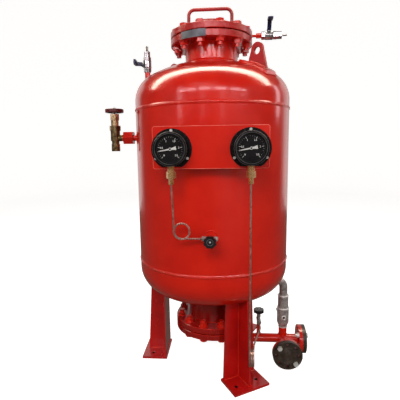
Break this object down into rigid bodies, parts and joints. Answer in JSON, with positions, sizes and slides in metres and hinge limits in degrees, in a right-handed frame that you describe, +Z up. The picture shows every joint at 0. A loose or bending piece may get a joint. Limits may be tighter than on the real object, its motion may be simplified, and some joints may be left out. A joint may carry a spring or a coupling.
{
  "type": "vertical bladder pressure tank",
  "caption": "Vertical pressure tank with dished heads, flanged necks, tee legs, dial gauges on a panel, ball and needle valves and a blanked outlet manifold.",
  "frame": {"origin": "floor level, at the centre of the circles of foot bolts, on the tank's axis", "axes": "+Z up along the tank's axis, -Y towards the gauges at the front, +X to the right as seen from the front"},
  "size_m": [0.8875, 0.739, 1.5321],
  "materials": {
    "red_paint": "high gloss",
    "bare_strip": "satin",
    "rubber_lining": "matte",
    "rubber_gasket": "matte",
    "core_steel": "brushed",
    "gauge_black": "gloss",
    "dial_black": "matte",
    "lens_glass": "clear",
    "pointer_white": "matte",
    "zinc_steel": "satin",
    "light_brass": "satin",
    "tube_steel": "satin",
    "needle_steel": "satin",
    "knob_black": "satin",
    "valve_chrome": "polished",
    "lever_navy": "satin",
    "dark_brass": "satin",
    "wheel_maroon": "satin",
    "blank_dark": "satin",
    "column_steel": "satin",
    "spring_steel": "bright"
  },
  "bodies": {
    "tank": {"angle_valve_body": "dark_brass", "angle_valve_bonnet": "dark_brass", "ball_valve_bodies": "valve_chrome", "bladder": "rubber_lining", "blank_bolts": "zinc_steel", "blank_plates": "blank_dark", "blank_strip": "bare_strip", "bottom_cover": "red_paint", "bottom_flange": "red_paint", "bottom_head": "red_paint", "bottom_neck": "red_paint", "branch_flanges": "red_paint", "column_body": "column_steel", "column_spring": "spring_steel", "cover_handle": "red_paint", "flange_bolts": "red_paint", "flange_gaskets": "rubber_gasket", "flange_nuts": "red_paint", "foot_front": "red_paint", "foot_left": "red_paint", "foot_rear": "red_paint", "front_lug": "red_paint", "gauge_bezels": "gauge_black", "gauge_dials": "dial_black", "gauge_lenses": "lens_glass", "gauge_panel": "red_paint", "gauge_screws": "zinc_steel", "gauge_sockets": "light_brass", "hose_barbs": "valve_chrome", "left_gauge_case": "gauge_black", "left_siphon_tube": "tube_steel", "leg_front": "red_paint", "leg_left": "red_paint", "leg_rear": "red_paint", "lug_pads": "red_paint", "manifold_pipe": "red_paint", "needle_valve_bodies": "needle_steel", "panel_brackets": "red_paint", "perforated_pipe": "core_steel", "rear_lug": "red_paint", "right_gauge_case": "gauge_black", "right_siphon_tube": "tube_steel", "shell_barrel": "red_paint", "shell_boss": "red_paint", "side_branch": "red_paint", "top_cover": "red_paint", "top_flange": "red_paint", "top_head": "red_paint", "top_neck": "red_paint", "union_nuts": "light_brass", "valve_sockets": "red_paint"},
    "vent_lever": {"vent_lever": "lever_navy"},
    "bleed_lever": {"bleed_lever": "lever_navy"},
    "valve_disc": {"angle_valve_disc": "dark_brass"},
    "handwheel": {"angle_valve_handwheel": "wheel_maroon"},
    "left_knob": {"left_needle_knob": "knob_black"},
    "right_knob": {"right_needle_knob": "knob_black"},
    "left_pointer": {"left_pointer": "pointer_white"},
    "right_pointer": {"right_pointer": "pointer_white"},
    "poppet": {"column_poppet": "column_steel"}
  },
  "joints": [
    {"name": "vent_lever_turn", "type": "hinge", "parent": "tank", "child": "vent_lever", "pos_m": [0.239, 0, 1.41359], "axis": [0, 0, 1], "range_deg": [0, 90]},
    {"name": "bleed_lever_turn", "type": "hinge", "parent": "tank", "child": "bleed_lever", "pos_m": [-0.276, 0, 1.31154], "axis": [-1, 0, 0], "range_deg": [0, 90]},
    {"name": "stem_lift", "type": "slide", "parent": "tank", "child": "valve_disc", "axis": [0, 0, 1], "range_m": [0, 0.0075]},
    {"name": "handwheel_turn", "type": "hinge", "parent": "valve_disc", "child": "handwheel", "pos_m": [-0.43, 0, 1.12004], "axis": [0, 0, 1], "range_deg": [0, 1800]},
    {"name": "left_knob_turn", "type": "hinge", "parent": "tank", "child": "left_knob", "pos_m": [0.004, -0.39, 0.63404], "axis": [0, -1, 0], "range_deg": [0, 1440]},
    {"name": "right_knob_turn", "type": "hinge", "parent": "tank", "child": "right_knob", "pos_m": [0.2055, -0.045, 0.222], "axis": [0, 0, 1], "range_deg": [0, 1440]},
    {"name": "left_pointer_turn", "type": "hinge", "parent": "tank", "child": "left_pointer", "pos_m": [-0.125, -0.4, 0.95004], "axis": [0, 1, 0], "range_deg": [-35, 235], "stiffness_Nm_per_rad": 0.01},
    {"name": "right_pointer_turn", "type": "hinge", "parent": "tank", "child": "right_pointer", "pos_m": [0.142, -0.4, 0.95004], "axis": [0, 1, 0], "range_deg": [-35, 235], "stiffness_Nm_per_rad": 0.01},
    {"name": "poppet_lift", "type": "slide", "parent": "tank", "child": "poppet", "axis": [0, 0, 1], "range_m": [0, 0.005], "stiffness_N_per_m": 800, "springref_m": -0.01, "deforming": ["column_spring"]}
  ],
  "couplings": [
    {"joint": "stem_lift", "follows": "handwheel_turn", "m_per_rad": 0.00023873}
  ]
}
